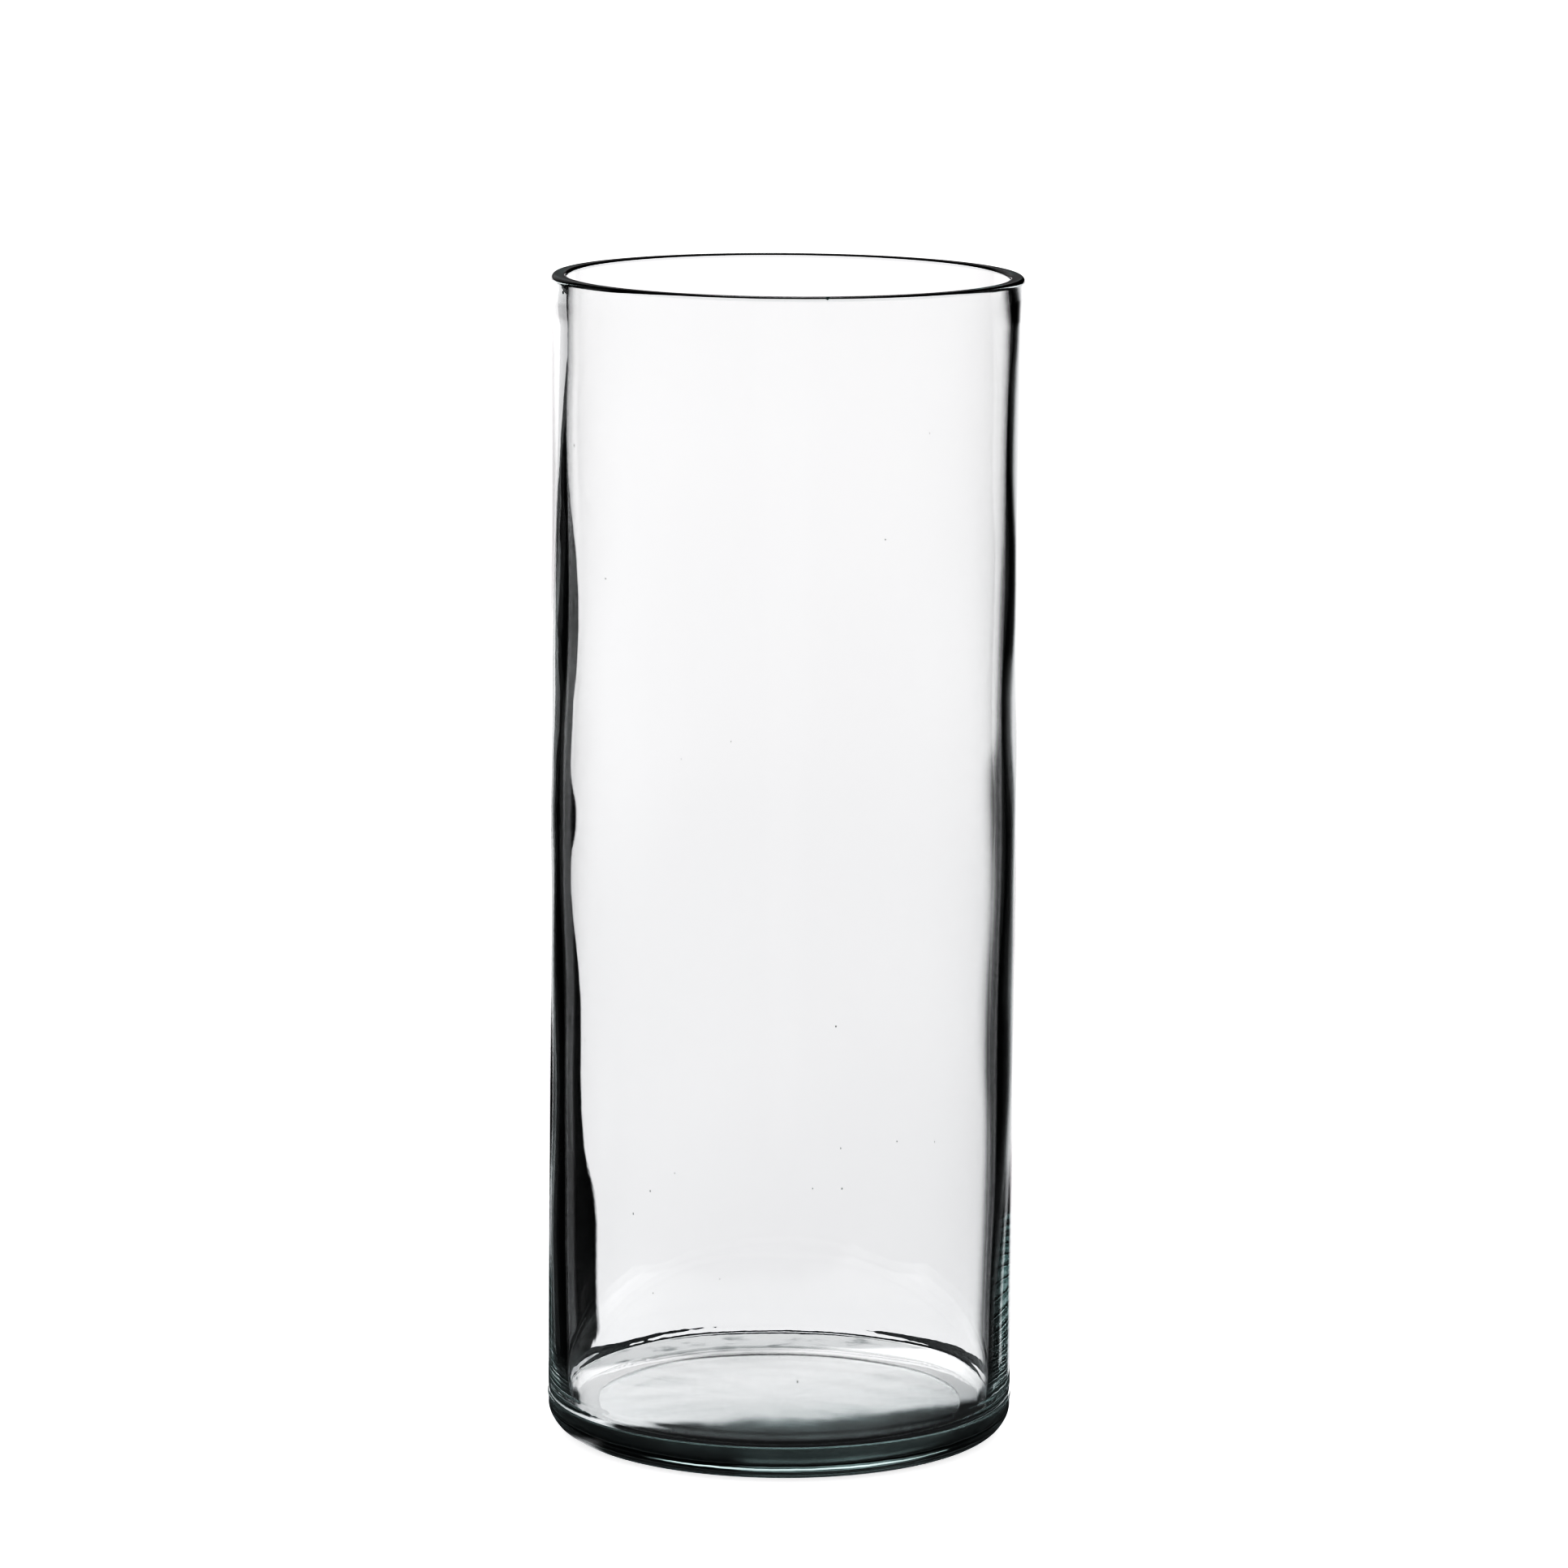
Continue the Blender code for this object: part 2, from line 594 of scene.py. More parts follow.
@dataclass(frozen=True)
class TableGlow:
    """What the glass sees of the table: a bright sheet with its front edge across under the vase.

    The edge is tilted away from the viewer on the right, and the table is dark all round the
    sheet. Behind the vase the sheet is duller and a little streaked.
    """

    front_colour: Colour = (1.20, 1.20, 1.22, 1.0)
    back_colour: Colour = (1.50, 1.48, 1.50, 1.0)
    far_colour: Colour = (0.86, 0.86, 0.87, 1.0)
    streak_colour: Colour = (0.42, 0.43, 0.44, 1.0)
    dark_colour: Colour = (0.050, 0.052, 0.055, 1.0)
    front_edge: float = -17.0 * MM
    front_tilt: float = 0.29
    front_softness: float = 5.0 * MM
    wobble: float = 11.0 * MM
    wobble_scale: float = 45.0
    brightest: float = 45.0 * MM
    far_from: float = 64.0 * MM
    far_to: float = 72.0 * MM
    back_edge: float = 84.0 * MM
    side_edge: float = 54.0 * MM
    side_softness: float = 3.0 * MM
    side_spread: float = 0.55
    streak_scale: float = 110.0
    streak_span: Span = (0.0, 0.45)

    def material(self) -> Material:
        """Paints the sheet and the dark round it.

        Returns:
            The material.
        """
        material, fields, output = bare_material("table_glow")
        place = fields.node("ShaderNodeTexCoord").outputs["Object"]
        x, y, _ = fields.split(place)
        drift = fields.noise(place, self.wobble_scale, 5.0, 3.0)
        behind = fields.math("MULTIPLY_ADD", x, -self.front_tilt, y)
        behind = fields.math("SUBTRACT", behind, self.front_edge)
        edge = fields.math("MULTIPLY_ADD", drift, self.wobble, behind)
        front = fields.ramp(edge, -self.front_softness, self.front_softness)
        back = fields.ramp(y, self.back_edge + self.side_softness, self.back_edge)
        outer, inner = self.side_edge + self.side_softness, self.side_edge - self.side_softness
        spread = fields.product(fields.math("MAXIMUM", y, 0.0), -self.side_spread)
        aside = fields.math("ADD", fields.math("ABSOLUTE", x), spread)
        sides = fields.ramp(aside, outer, inner)
        sheet = fields.product(sides, fields.product(front, back))
        streaks = fields.ramp(fields.noise(place, self.streak_scale, 8.0, 4.0), *self.streak_span)
        far = fields.mixed_colour(streaks, self.far_colour, self.streak_colour)
        nearness = fields.ramp(behind, 0.0, self.brightest)
        near = fields.mixed_colour(nearness, self.front_colour, self.back_colour)
        lit = fields.mixed_colour(fields.ramp(behind, self.far_from, self.far_to), near, far)
        give_light(fields, output, fields.mixed_colour(sheet, self.dark_colour, lit))
        return material


@dataclass
class VaseSizes:
    """The vase's sizes in metres. The height and the foot's radius come from the frame."""

    height: float
    foot_radius: float
    draft: float = 0.2 * MM
    wall_at_rim: float = 3.8 * MM
    wall_at_foot: float = 4.6 * MM
    foot_swell_height: float = 70.0 * MM
    rim_lip: float = 0.4 * MM
    rim_corner: float = 1.2 * MM
    rim_end_degrees: float = -8.0
    rim_blend_height: float = 12.0 * MM
    floor_edge_height: float = 7.8 * MM
    floor_crown: float = 1.0 * MM
    fillet_radius: float = 3.0 * MM
    mark_width: float = 2.2 * MM
    mark_height: float = 0.05 * MM
    heel_radius: float = 7.5 * MM
    seam_height: float = 9.8 * MM
    seam_step: float = 0.2 * MM
    seam_blend: float = 0.6 * MM
    ring_width: float = 4.2 * MM
    push_up_height: float = 0.6 * MM
    push_up_power: int = 4
    base_margin: float = 1.0 * MM

    @classmethod
    def of_node(cls, node: str) -> VaseSizes:
        """Reads the overall size from a CAD node.

        Args:
            node: the node's name.

        Returns:
            The sizes.
        """
        low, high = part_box(node)
        return cls(height=high[2] - low[2], foot_radius=(high[0] - low[0]) / 2)

    @property
    def wall_radius(self) -> float:
        """The outer radius just above the seam."""
        return self.foot_radius - self.seam_step

    @property
    def ring_radius(self) -> float:
        """The standing ring's outer radius."""
        return self.foot_radius - self.heel_radius

    @property
    def ring_inner(self) -> float:
        """The standing ring's inner radius."""
        return self.ring_radius - self.ring_width

    @property
    def base_top(self) -> float:
        """The height below which every surface belongs to the base."""
        return self.floor_edge_height - self.base_margin

    @property
    def wall_middle(self) -> float:
        """The radius of the middle of the wall under the rim."""
        return self.wall_radius - self.wall_at_rim / 2

    @property
    def fillet_top(self) -> float:
        """The height where the floor's fillet meets the wall."""
        return self.floor_edge_height + self.fillet_radius

    @property
    def floor_radius(self) -> float:
        """The radius where the floor's fillet starts."""
        return self.inner_radius(self.fillet_top) - self.fillet_radius

    @property
    def corner_height(self) -> float:
        """The height of the rim's corner centres."""
        return self.height - self.rim_corner

    def outer_radius(self, z: float) -> float:
        """The straight wall's outer radius at height z."""
        share = (z - self.seam_height) / (self.height - self.seam_height)
        return self.wall_radius - self.draft * share

    def inner_radius(self, z: float) -> float:
        """The wall's inner radius at height z."""
        swell = math.exp(-(z - self.fillet_top) / self.foot_swell_height)
        thicker = (self.wall_at_foot - self.wall_at_rim) * swell
        return self.outer_radius(z) - self.wall_at_rim - thicker


@dataclass
class HalfSection:
    """The vase's half section, from the middle of the floor to the middle of the underside."""

    sizes: VaseSizes
    wall_steps: int = 30
    corner_steps: int = 9
    blend_steps: int = 8
    mark_steps: int = 7
    fillet_steps: int = 14
    heel_steps: int = 14
    floor_steps: int = 18
    hollow_steps: int = 18
    hollow_crowding: float = 1.5
    seam_shares: tuple[float, ...] = (0.0, 0.2, 0.5, 0.8, 1.0)
    points: list[Span] = field(default_factory=list)

    def arc(self, r: float, z: float, radius: float, start: float, end: float, steps: int) -> None:
        """Adds an arc, both ends included.

        Args:
            r: its centre's distance from the axis.
            z: its centre's height.
            radius: its radius.
            start: the first angle in degrees, 0 pointing outwards.
            end: the last angle.
            steps: how many chords it has.
        """
        for i in range(steps + 1):
            angle = math.radians(start + (end - start) * i / steps)
            self.points.append((r + radius * math.cos(angle), z + radius * math.sin(angle)))

    def draw(self) -> list[Span]:
        """Draws the whole section.

        Returns:
            Its points as (distance from the axis, height).
        """
        self.floor()
        self.inside()
        self.rim()
        self.outside()
        self.underside()
        return self.points

    def floor(self) -> None:
        """The crowned floor and the fillet up into the wall."""
        s = self.sizes
        for i in range(self.floor_steps):
            share = i / self.floor_steps
            height = s.floor_edge_height + s.floor_crown * (1 - share**2)
            self.points.append((s.floor_radius * share, height))
        self.arc(s.floor_radius, s.fillet_top, s.fillet_radius, -90, 0, self.fillet_steps)

    def inside(self) -> None:
        """The inside of the wall, from above the fillet to below the rim."""
        s = self.sizes
        for i in range(1, self.mark_steps):
            share = i / self.mark_steps
            z = s.fillet_top + s.mark_width * share
            mark = s.mark_height * math.sin(math.pi * share) ** 2
            self.points.append((s.inner_radius(z) - mark, z))
        start = s.fillet_top + s.mark_width
        for i in range(self.wall_steps):
            z = start + (s.corner_height - start) * i / self.wall_steps
            self.points.append((s.inner_radius(z), z))

    def rim(self) -> None:
        """The flame-rounded corners, the top between them, and the blend back into the outside."""
        s = self.sizes
        inner = s.inner_radius(s.corner_height) + s.rim_corner
        outer = s.outer_radius(s.height) + s.rim_lip - s.rim_corner
        self.arc(inner, s.corner_height, s.rim_corner, 180, 90, self.corner_steps)
        self.arc(outer, s.corner_height, s.rim_corner, 90, s.rim_end_degrees, self.corner_steps)
        start_r, start_z = self.points[-1]
        end_z = s.height - s.rim_blend_height
        end_r = s.outer_radius(end_z)
        for i in range(1, self.blend_steps + 1):
            share = i / self.blend_steps
            r = start_r + (end_r - start_r) * eased(share)
            self.points.append((r, start_z + (end_z - start_z) * share))

    def outside(self) -> None:
        """The outside of the wall, the seam's small step and the heel."""
        s = self.sizes
        top = s.height - s.rim_blend_height
        for i in range(1, self.wall_steps):
            z = top + (s.seam_height - top) * i / self.wall_steps
            self.points.append((s.outer_radius(z), z))
        for share in self.seam_shares:
            r = s.wall_radius + s.seam_step * eased(share)
            self.points.append((r, s.seam_height - s.seam_blend * share))
        self.arc(s.ring_radius, s.heel_radius, s.heel_radius, 0, -90, self.heel_steps)

    def underside(self) -> None:
        """The flat standing ring and the shallow hollow inside it."""
        s = self.sizes
        for share in (0.5, 1.0):
            self.points.append((s.ring_radius - s.ring_width * share, 0.0))
        for i in range(1, self.hollow_steps + 1):
            share = 1 - (i / self.hollow_steps) ** self.hollow_crowding
            height = s.push_up_height * (1 - share**s.push_up_power)
            self.points.append((s.ring_inner * share, height))


class Skin(Enum):
    """The parts of the glass's surface that ripple in their own way."""

    OUTSIDE = "outside"
    INSIDE = "inside"
    FLOOR = "floor"
    FILLET = "fillet"
    HEEL = "heel"
    UNDERSIDE = "underside"


@dataclass(frozen=True)
class Ripple:
    """One band of ripple on one skin of the glass.

    Its lean is added to the wave, which runs from about -1 to 1, so that -1 only takes glass away.
    """

    skin: Skin
    height: float
    waves_per_metre: float
    upright_stretch: float
    seed: float
    lean: float = 0.0


def hollow_ball(fields: Fields) -> Socket:
    """Makes a round ball one metre across, its faces turned into it.

    Args:
        fields: the tree's fields.

    Returns:
        The ball.
    """
    ball = fields.node("GeometryNodeMeshIcoSphere", {"Radius": 0.5, "Subdivisions": 3})
    return fields.node("GeometryNodeFlipFaces", (ball.outputs[0],)).outputs[0]


@dataclass(frozen=True)
class Blister:
    """One larger gas blister, flattened in the wall."""

    degrees: float
    below_top: float
    depth: float
    width: float
    thickness: float
    height_share: float = 0.7

    def hollow(self, fields: Fields, sizes: VaseSizes) -> Socket:
        """Makes the blister as a closed hollow, its faces turned into it.

        Args:
            fields: the tree's fields.
            sizes: the vase's sizes.

        Returns:
            The hollow.
        """
        angle = math.radians(self.degrees)
        z = sizes.height - self.below_top
        radius = sizes.outer_radius(z) - self.depth
        place = (radius * math.cos(angle), radius * math.sin(angle), z)
        inputs = {
            "Geometry": hollow_ball(fields),
            "Translation": place,
            "Rotation": (0.0, 0.0, angle),
            "Scale": (self.thickness, self.width, self.height_share * self.width),
        }
        return fields.node("GeometryNodeTransform", inputs).outputs[0]


@dataclass(frozen=True)
class Fades:
    """Where each skin's ripple fades out at its edges, as distances in metres."""

    wall: float = 0.2 * MM
    rim: float = 0.5 * MM
    fillet: Span = (3.0 * MM, 1.0 * MM)
    floor_edge: Span = (1.0 * MM, 4.0 * MM)
    ring: float = 2.0 * MM
    foot: float = 15.0 * MM
    heel: Span = (0.5 * MM, 2.0 * MM)
    table: Span = (0.1 * MM, 1.5 * MM)


@dataclass
class VaseBody:
    """The whole vase: the turned glass with its ripples, its seam and its gas seeds."""

    sizes: VaseSizes
    glass: ClearGlass
    fades: Fades = Fades()
    turns: int = 560
    merge_distance: float = 0.004 * MM
    seeds: int = 26
    seed_width: float = 0.22 * MM
    seed_widths: Span = (0.6, 1.7)
    seed_lengths: Span = (1.1, 2.4)
    seed_heights: Span = (0.06, 0.97)
    seed_off_middle: float = 0.9 * MM
    random_seed: int = 11
    blisters: tuple[Blister, ...] = (
        Blister(-80.5, 0.75 * MM, 1.7 * MM, 1.0 * MM, 0.7 * MM),
        Blister(-161.0, 3.2 * MM, 1.6 * MM, 1.1 * MM, 0.7 * MM),
    )
    ripples: tuple[Ripple, ...] = (
        Ripple(Skin.OUTSIDE, 0.14 * MM, 12.0, 0.8, 3.0, 0.3),
        Ripple(Skin.OUTSIDE, 0.016 * MM, 60.0, 0.3, 8.0, -1.0),
        Ripple(Skin.INSIDE, 0.75 * MM, 13.0, 0.9, 21.0),
        Ripple(Skin.INSIDE, 0.035 * MM, 55.0, 0.35, 27.0),
        Ripple(Skin.FLOOR, 0.12 * MM, 45.0, 1.0, 33.0),
        Ripple(Skin.FILLET, 0.15 * MM, 40.0, 1.0, 37.0),
        Ripple(Skin.FILLET, 0.045 * MM, 480.0, 1.0, 39.0),
        Ripple(Skin.HEEL, 0.060 * MM, 260.0, 0.6, 51.0, -1.0),
        Ripple(Skin.UNDERSIDE, 0.10 * MM, 60.0, 1.0, 43.0, -1.0),
        Ripple(Skin.UNDERSIDE, 0.010 * MM, 300.0, 1.0, 47.0, -1.0),
    )

    NODE = "vase_body"
    PIECE = "vase_glass"

    def build(self) -> Object:
        """Makes the vase and puts it in place of its CAD node.

        Returns:
            The finished piece.
        """
        section = HalfSection(self.sizes).draw()
        material = self.glass.material(self.sizes)
        guide = self.section_object(section)
        modifier = guide.modifiers.new("turned_glass", "NODES")
        modifier.node_group = self.tree(len(section), material)
        given = {"Turns": self.turns, "Seeds": self.seeds, "Seed Width": self.seed_width}
        self.set_inputs(modifier, given)
        evaluated = guide.evaluated_get(bpy.context.evaluated_depsgraph_get())
        mesh = bpy.data.meshes.new_from_object(evaluated)
        bpy.data.objects.remove(guide, do_unlink=True)
        mesh.name = self.PIECE
        piece = bpy.data.objects.new(self.PIECE, mesh)
        bpy.context.scene.collection.objects.link(piece)
        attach(piece, "root")
        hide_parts(self.NODE)
        LOG.info("%s: %d faces, %d seeds", self.PIECE, len(mesh.polygons), self.seeds)
        return piece

    def section_object(self, section: list[Span]) -> Object:
        """Makes the half section as a chain of edges in the XZ plane.

        Args:
            section: its points.

        Returns:
            The guide object.
        """
        mesh = bpy.data.meshes.new("half_section")
        edges = [(i, i + 1) for i in range(len(section) - 1)]
        mesh.from_pydata([(r, 0.0, z) for r, z in section], edges, [])
        guide = bpy.data.objects.new("half_section", mesh)
        bpy.context.scene.collection.objects.link(guide)
        return guide

    @staticmethod
    def set_inputs(modifier: NodesModifier, values: dict[str, float]) -> None:
        """Sets a modifier's named inputs by their identifiers.

        Args:
            modifier: the Geometry Nodes modifier.
            values: input name to value.
        """
        for item in modifier.node_group.interface.items_tree:
            if item.item_type == "SOCKET" and item.in_out == "INPUT" and item.name in values:
                modifier[item.identifier] = values[item.name]

    def tree(self, section_points: int, material: Material) -> NodeTree:
        """Builds the tree that turns the section, ripples it and sets the seeds.

        Args:
            section_points: how many points the section has.
            material: the glass.

        Returns:
            The node group.
        """
        group = bpy.data.node_groups.new("turned_glass", "GeometryNodeTree")
        for name, way, kind in (
            ("Section", "INPUT", "NodeSocketGeometry"),
            ("Turns", "INPUT", "NodeSocketInt"),
            ("Seeds", "INPUT", "NodeSocketInt"),
            ("Seed Width", "INPUT", "NodeSocketFloat"),
            ("Glass", "OUTPUT", "NodeSocketGeometry"),
        ):
            group.interface.new_socket(name, in_out=way, socket_type=kind)
        fields = Fields(group)
        given = fields.node("NodeGroupInput").outputs
        body = self.turned(fields, given, section_points)
        closed = fields.node(
            "GeometryNodeMergeByDistance", {"Geometry": body, "Distance": self.merge_distance}
        )
        join = fields.node("GeometryNodeJoinGeometry", (self.gas_seeds(fields, given),))
        for blister in self.blisters:
            fields.plug(join.inputs[0], blister.hollow(fields, self.sizes))
        fields.plug(join.inputs[0], self.rippled(fields, closed.outputs[0]))
        real = fields.node("GeometryNodeRealizeInstances", (join.outputs[0],))
        smooth = fields.node("GeometryNodeSetShadeSmooth", (real.outputs[0],))
        dressed = fields.node(
            "GeometryNodeSetMaterial", {"Geometry": smooth.outputs[0], "Material": material}
        )
        fields.node("NodeGroupOutput", (dressed.outputs[0],))
        return group

    def turned(
        self, fields: Fields, given: NodeOutputs, section_points: int
    ) -> Socket:
        """Bends a flat grid round the axis, so that each of its columns is the section.

        Args:
            fields: the tree's fields.
            given: the tree's inputs.
            section_points: how many points the section has.

        Returns:
            The turned body.
        """
        columns = fields.math("ADD", given["Turns"], 1)
        grid = fields.node(
            "GeometryNodeMeshGrid", {"Vertices X": columns, "Vertices Y": section_points}
        )
        index = fields.node("GeometryNodeInputIndex").outputs[0]
        column = fields.math("DIVIDE", fields.math("ADD", index, 0.5), section_points)
        column = fields.math("FLOOR", column)
        row = fields.math("SUBTRACT", index, fields.product(column, section_points))
        sample = fields.node(
            "GeometryNodeSampleIndex",
            {
                "Geometry": given["Section"],
                "Value": fields.node("GeometryNodeInputPosition").outputs[0],
                "Index": row,
            },
            data_type="FLOAT_VECTOR",
            domain="POINT",
        )
        radius, _, height = fields.split(sample.outputs[0])
        angle = fields.math("DIVIDE", fields.product(column, -math.tau), given["Turns"])
        inputs = {
            "Geometry": grid.outputs["Mesh"],
            "Position": fields.about_axis(radius, angle, height),
        }
        return fields.node("GeometryNodeSetPosition", inputs).outputs[0]

    def rippled(self, fields: Fields, body: Socket) -> Socket:
        """Moves every skin of the glass along its normal by its own ripples.

        Args:
            fields: the tree's fields.
            body: the turned body.

        Returns:
            The rippled body.
        """
        place = fields.node("GeometryNodeInputPosition").outputs[0]
        shares = self.skin_shares(fields, place)
        amount: object = 0.0
        for ripple in self.ripples:
            stretch = (1.0, 1.0, ripple.upright_stretch)
            stretched = fields.vector_math("MULTIPLY", place, stretch)
            wave = fields.noise(stretched, ripple.waves_per_metre, ripple.seed)
            wave = fields.product(fields.math("ADD", wave, ripple.lean), ripple.height)
            amount = fields.math("MULTIPLY_ADD", wave, shares[ripple.skin], amount)
        outward = fields.node("GeometryNodeInputNormal").outputs[0]
        inputs = {"Geometry": body, "Offset": fields.scaled(outward, amount)}
        return fields.node("GeometryNodeSetPosition", inputs).outputs[0]

    def skin_shares(self, fields: Fields, place: Socket) -> dict[Skin, Socket]:
        """How far each point belongs to each skin, from 0 to 1.

        Args:
            fields: the tree's fields.
            place: the points' positions.

        Returns:
            A share's socket for each skin.
        """
        s, f = self.sizes, self.fades
        x, y, z = fields.split(place)
        radius = fields.from_axis(x, y)
        below_floor = fields.math("LESS_THAN", z, s.base_top)
        inner, outer = s.wall_middle - f.wall, s.wall_middle + f.wall
        on_wall = fields.ramp(radius, inner, outer, blend=Blend.STRAIGHT)
        off_rim = fields.ramp(z, s.height - f.rim, s.height - s.rim_blend_height)
        outside = fields.math("MAXIMUM", on_wall, below_floor)
        inside = fields.math("SUBTRACT", 1.0, outside)
        edge = fields.product(
            fields.ramp(z, s.fillet_top + f.fillet[0], s.fillet_top + f.fillet[1]),
            fields.ramp(radius, s.floor_radius - f.floor_edge[1], s.floor_radius),
        )
        on_floor = fields.ramp(
            radius, s.floor_radius + f.floor_edge[0], s.floor_radius - f.floor_edge[1]
        )
        off_ring = fields.ramp(radius, s.ring_inner, s.ring_inner - f.ring)
        off_heel = fields.ramp(z, s.seam_height - s.seam_blend, s.seam_height + f.foot)
        rounded = fields.ramp(z, s.heel_radius + f.heel[0], s.heel_radius - f.heel[1])
        off_table = fields.ramp(z, *f.table)
        return {
            Skin.OUTSIDE: fields.product(outside, off_heel, off_rim),
            Skin.INSIDE: fields.product(inside, off_rim),
            Skin.FLOOR: fields.product(inside, on_floor),
            Skin.FILLET: fields.product(inside, edge),
            Skin.HEEL: fields.product(rounded, off_table, on_wall),
            Skin.UNDERSIDE: fields.product(below_floor, off_ring),
        }

    def gas_seeds(self, fields: Fields, given: NodeOutputs) -> Socket:
        """Scatters small hollows inside the wall, drawn out upright.

        Args:
            fields: the tree's fields.
            given: the tree's inputs.

        Returns:
            The hollows, as instances.
        """
        s = self.sizes
        low, high = self.seed_heights
        angle = self.random(fields, 0.0, math.tau, 0)
        height = self.random(fields, low * s.height, high * s.height, 1)
        off = self.seed_off_middle
        radius = self.random(fields, s.wall_middle - off, s.wall_middle + off, 2)
        place = fields.about_axis(radius, angle, height)
        points = fields.node(
            "GeometryNodePoints", {"Count": given["Seeds"], "Position": place}
        )
        width = fields.product(given["Seed Width"], self.random(fields, *self.seed_widths, 3))
        length = fields.product(width, self.random(fields, *self.seed_lengths, 4))
        inputs = {
            "Points": points.outputs[0],
            "Instance": hollow_ball(fields),
            "Scale": fields.joined(width, width, length),
        }
        return fields.node("GeometryNodeInstanceOnPoints", inputs).outputs[0]

    def random(self, fields: Fields, low: float, high: float, number: int) -> Socket:
        """A random number for each point.

        Args:
            fields: the tree's fields.
            low: the least it may be.
            high: the most.
            number: which of the body's random numbers it is.

        Returns:
            The number's socket.
        """
        seed = {"Seed": self.random_seed + number}
        node = fields.node("FunctionNodeRandomValue", seed, data_type="FLOAT")
        sockets = [s for s in node.inputs if s.enabled and s.type == "VALUE"]
        fields.plug(sockets[0], low)
        fields.plug(sockets[1], high)
        return next(s for s in node.outputs if s.enabled)


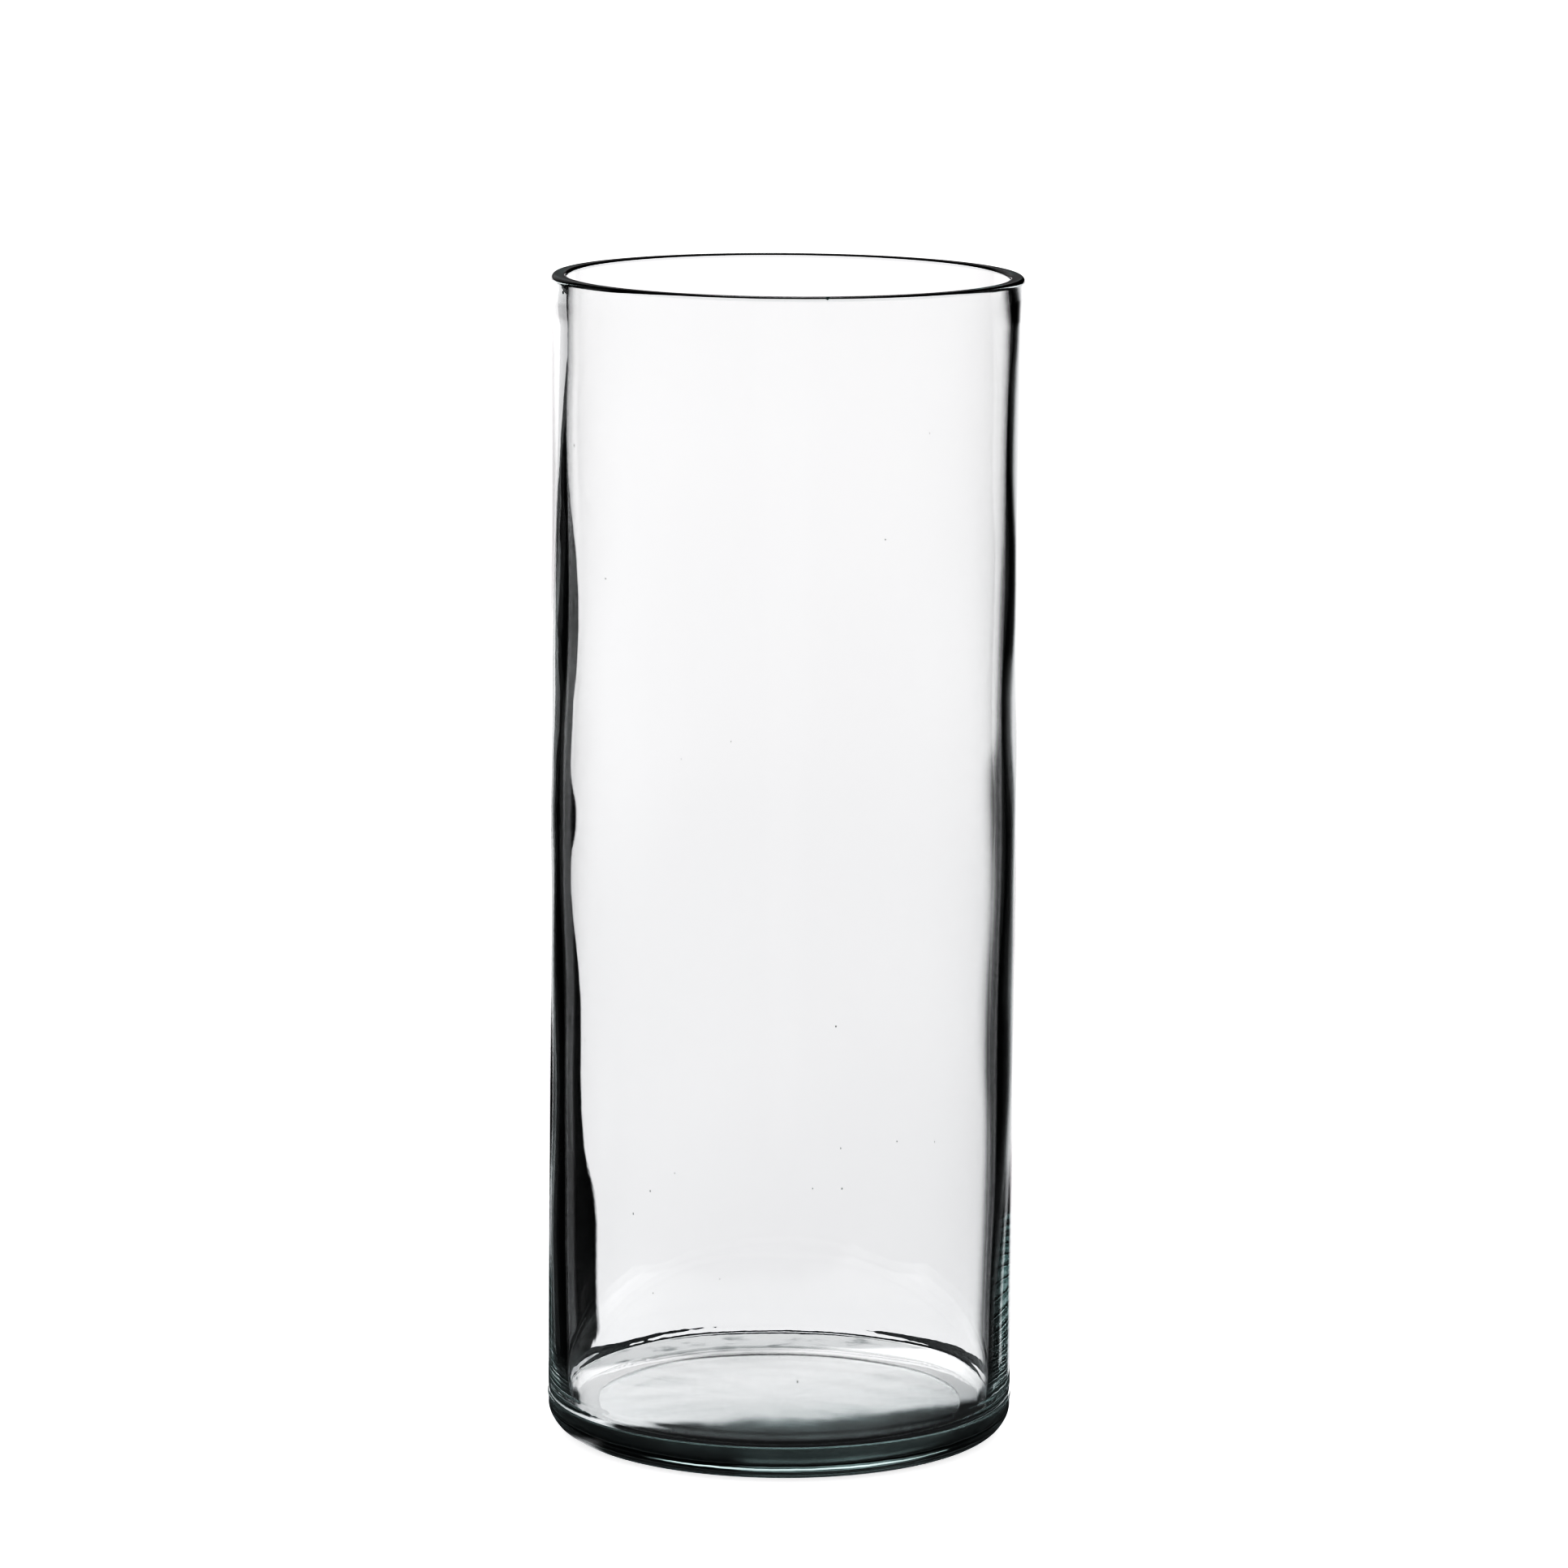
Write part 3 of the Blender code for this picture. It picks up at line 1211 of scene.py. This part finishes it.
@dataclass
class Studio:
    """The floor, the white room, the camera and the three pieces that only the glass sees.

    The camera's tilt and roll are in degrees, and its lens and sensor in millimetres.
    """

    COMBINED_CURVE: ClassVar[int] = 3

    floor_finish: PaleFloor
    tent_light: TentLight
    table_glow: TableGlow
    camera_distance: float = 1.745
    camera_height: float = 0.466
    camera_down: float = 9.66
    camera_roll: float = 0.473
    lens: float = 158.4
    sensor: float = 36.0
    clip_start: float = 0.05
    clip_end: float = 60.0
    floor_half: float = 14.0
    tent_radius: float = 12.0
    glow_radius: float = 0.088
    glow_drop: float = 0.3 * MM
    shade_radius: float = 0.080
    shade_height: float = 4.2 * MM
    shade_colour: Colour = (0.020, 0.024, 0.026, 1.0)
    room_level: float = 1.15
    bounces: int = 32
    rim_turns: int = 96
    tone_points: tuple[Span, ...] = (
        (0.020, 0.003), (0.100, 0.022), (0.200, 0.075), (0.350, 0.240), (0.600, 0.570),
        (0.800, 0.800),
    )

    def build(self) -> None:
        """Sets the whole studio up."""
        self.room()
        self.floor()
        self.glow()
        self.shade()
        camera = self.camera()
        self.tent(camera)
        scene = bpy.context.scene
        scene.view_settings.view_transform = "Standard"
        self.deepen_shadows(scene.view_settings)
        scene.cycles.max_bounces = self.bounces
        scene.cycles.transmission_bounces = self.bounces
        scene.cycles.glossy_bounces = self.bounces
        LOG.info("studio: floor, room, tent and camera")

    def deepen_shadows(self, view: ColorManagedViewSettings) -> None:
        """Gives the picture a toe that keeps its light tones and deepens its dark ones.

        Args:
            view: the scene's view settings.
        """
        view.use_curve_mapping = True
        tone = view.curve_mapping.curves[self.COMBINED_CURVE]
        for dark, deepened in self.tone_points:
            tone.points.new(dark, deepened)
        view.curve_mapping.update()

    @staticmethod
    def show(piece: Object, seen: Seen) -> None:
        """Says which rays meet a piece of the studio.

        Args:
            piece: the floor, or one of the pieces for the glass.
            seen: by the camera or by the glass.
        """
        by_camera = seen is Seen.BY_CAMERA
        piece.visible_camera = by_camera
        piece.visible_diffuse = by_camera
        piece.visible_shadow = by_camera
        piece.visible_glossy = not by_camera
        piece.visible_transmission = not by_camera
        piece.visible_volume_scatter = False

    def room(self) -> None:
        """A plain white room."""
        world = bpy.data.worlds.new("white_room")
        world.use_nodes = True
        background = next(n for n in world.node_tree.nodes if n.type == "BACKGROUND")
        background.inputs["Color"].default_value = (1.0, 1.0, 1.0, 1.0)
        background.inputs["Strength"].default_value = self.room_level
        bpy.context.scene.world = world
        world.cycles_visibility.glossy = False
        world.cycles_visibility.transmission = False

    def floor(self) -> None:
        """The pale floor that the vase stands on."""
        size = 2 * self.floor_half
        bpy.ops.mesh.primitive_grid_add(x_subdivisions=8, y_subdivisions=8, size=size)
        floor = bpy.context.object
        floor.name = "studio_floor"
        floor.data.materials.append(self.floor_finish.material())
        self.show(floor, Seen.BY_CAMERA)

    def glow(self) -> None:
        """The disc just under the floor that the glass sees in its place."""
        bpy.ops.mesh.primitive_circle_add(
            vertices=self.rim_turns,
            radius=self.glow_radius,
            fill_type="NGON",
            location=(0.0, 0.0, -self.glow_drop),
        )
        disc = bpy.context.object
        disc.name = "table_glow"
        disc.data.materials.append(self.table_glow.material())
        self.show(disc, Seen.BY_GLASS)

    def shade(self) -> None:
        """A low dark collar round the foot, which only the glass sees. It darkens the heel."""
        bpy.ops.mesh.primitive_cylinder_add(
            vertices=self.rim_turns,
            radius=self.shade_radius,
            depth=self.shade_height,
            end_fill_type="NOTHING",
            location=(0.0, 0.0, self.shade_height / 2),
        )
        collar = bpy.context.object
        collar.name = "foot_shade"
        material, fields, output = bare_material("foot_shade")
        give_light(fields, output, self.shade_colour)
        collar.data.materials.append(material)
        self.show(collar, Seen.BY_GLASS)

    def camera(self) -> Object:
        """The camera, looking a little down on the vase.

        Returns:
            The camera object.
        """
        data = bpy.data.cameras.new("studio_camera")
        data.sensor_width = self.sensor
        data.lens = self.lens
        data.clip_start = self.clip_start
        data.clip_end = self.clip_end
        camera = bpy.data.objects.new("studio_camera", data)
        bpy.context.scene.collection.objects.link(camera)
        down = Euler((math.radians(90 - self.camera_down), 0.0, 0.0)).to_matrix()
        roll = Matrix.Rotation(math.radians(self.camera_roll), 3, "Z")
        camera.rotation_mode = "QUATERNION"
        camera.rotation_quaternion = (down @ roll).to_quaternion()
        camera.location = (0.0, -self.camera_distance, self.camera_height)
        bpy.context.scene.camera = camera
        return camera

    def tent(self, camera: Object) -> None:
        """The light tent, which stands where the camera stands so that every side is lit alike.

        Args:
            camera: what the tent turns with.
        """
        bpy.ops.mesh.primitive_uv_sphere_add(segments=48, ring_count=24, radius=self.tent_radius)
        tent = bpy.context.object
        tent.name = "light_tent"
        tent.data.materials.append(self.tent_light.material())
        self.show(tent, Seen.BY_GLASS)
        bpy.context.view_layer.update()
        tent.parent = camera
        tent.matrix_parent_inverse = camera.matrix_world.inverted()


def main() -> None:
    """Builds the vase, then the studio round it."""
    logging.basicConfig(level=logging.INFO, format="%(name)s: %(message)s")
    VaseBody(VaseSizes.of_node(VaseBody.NODE), ClearGlass()).build()
    Studio(PaleFloor(), TentLight(), TableGlow()).build()


if __name__ == "__main__":
    main()
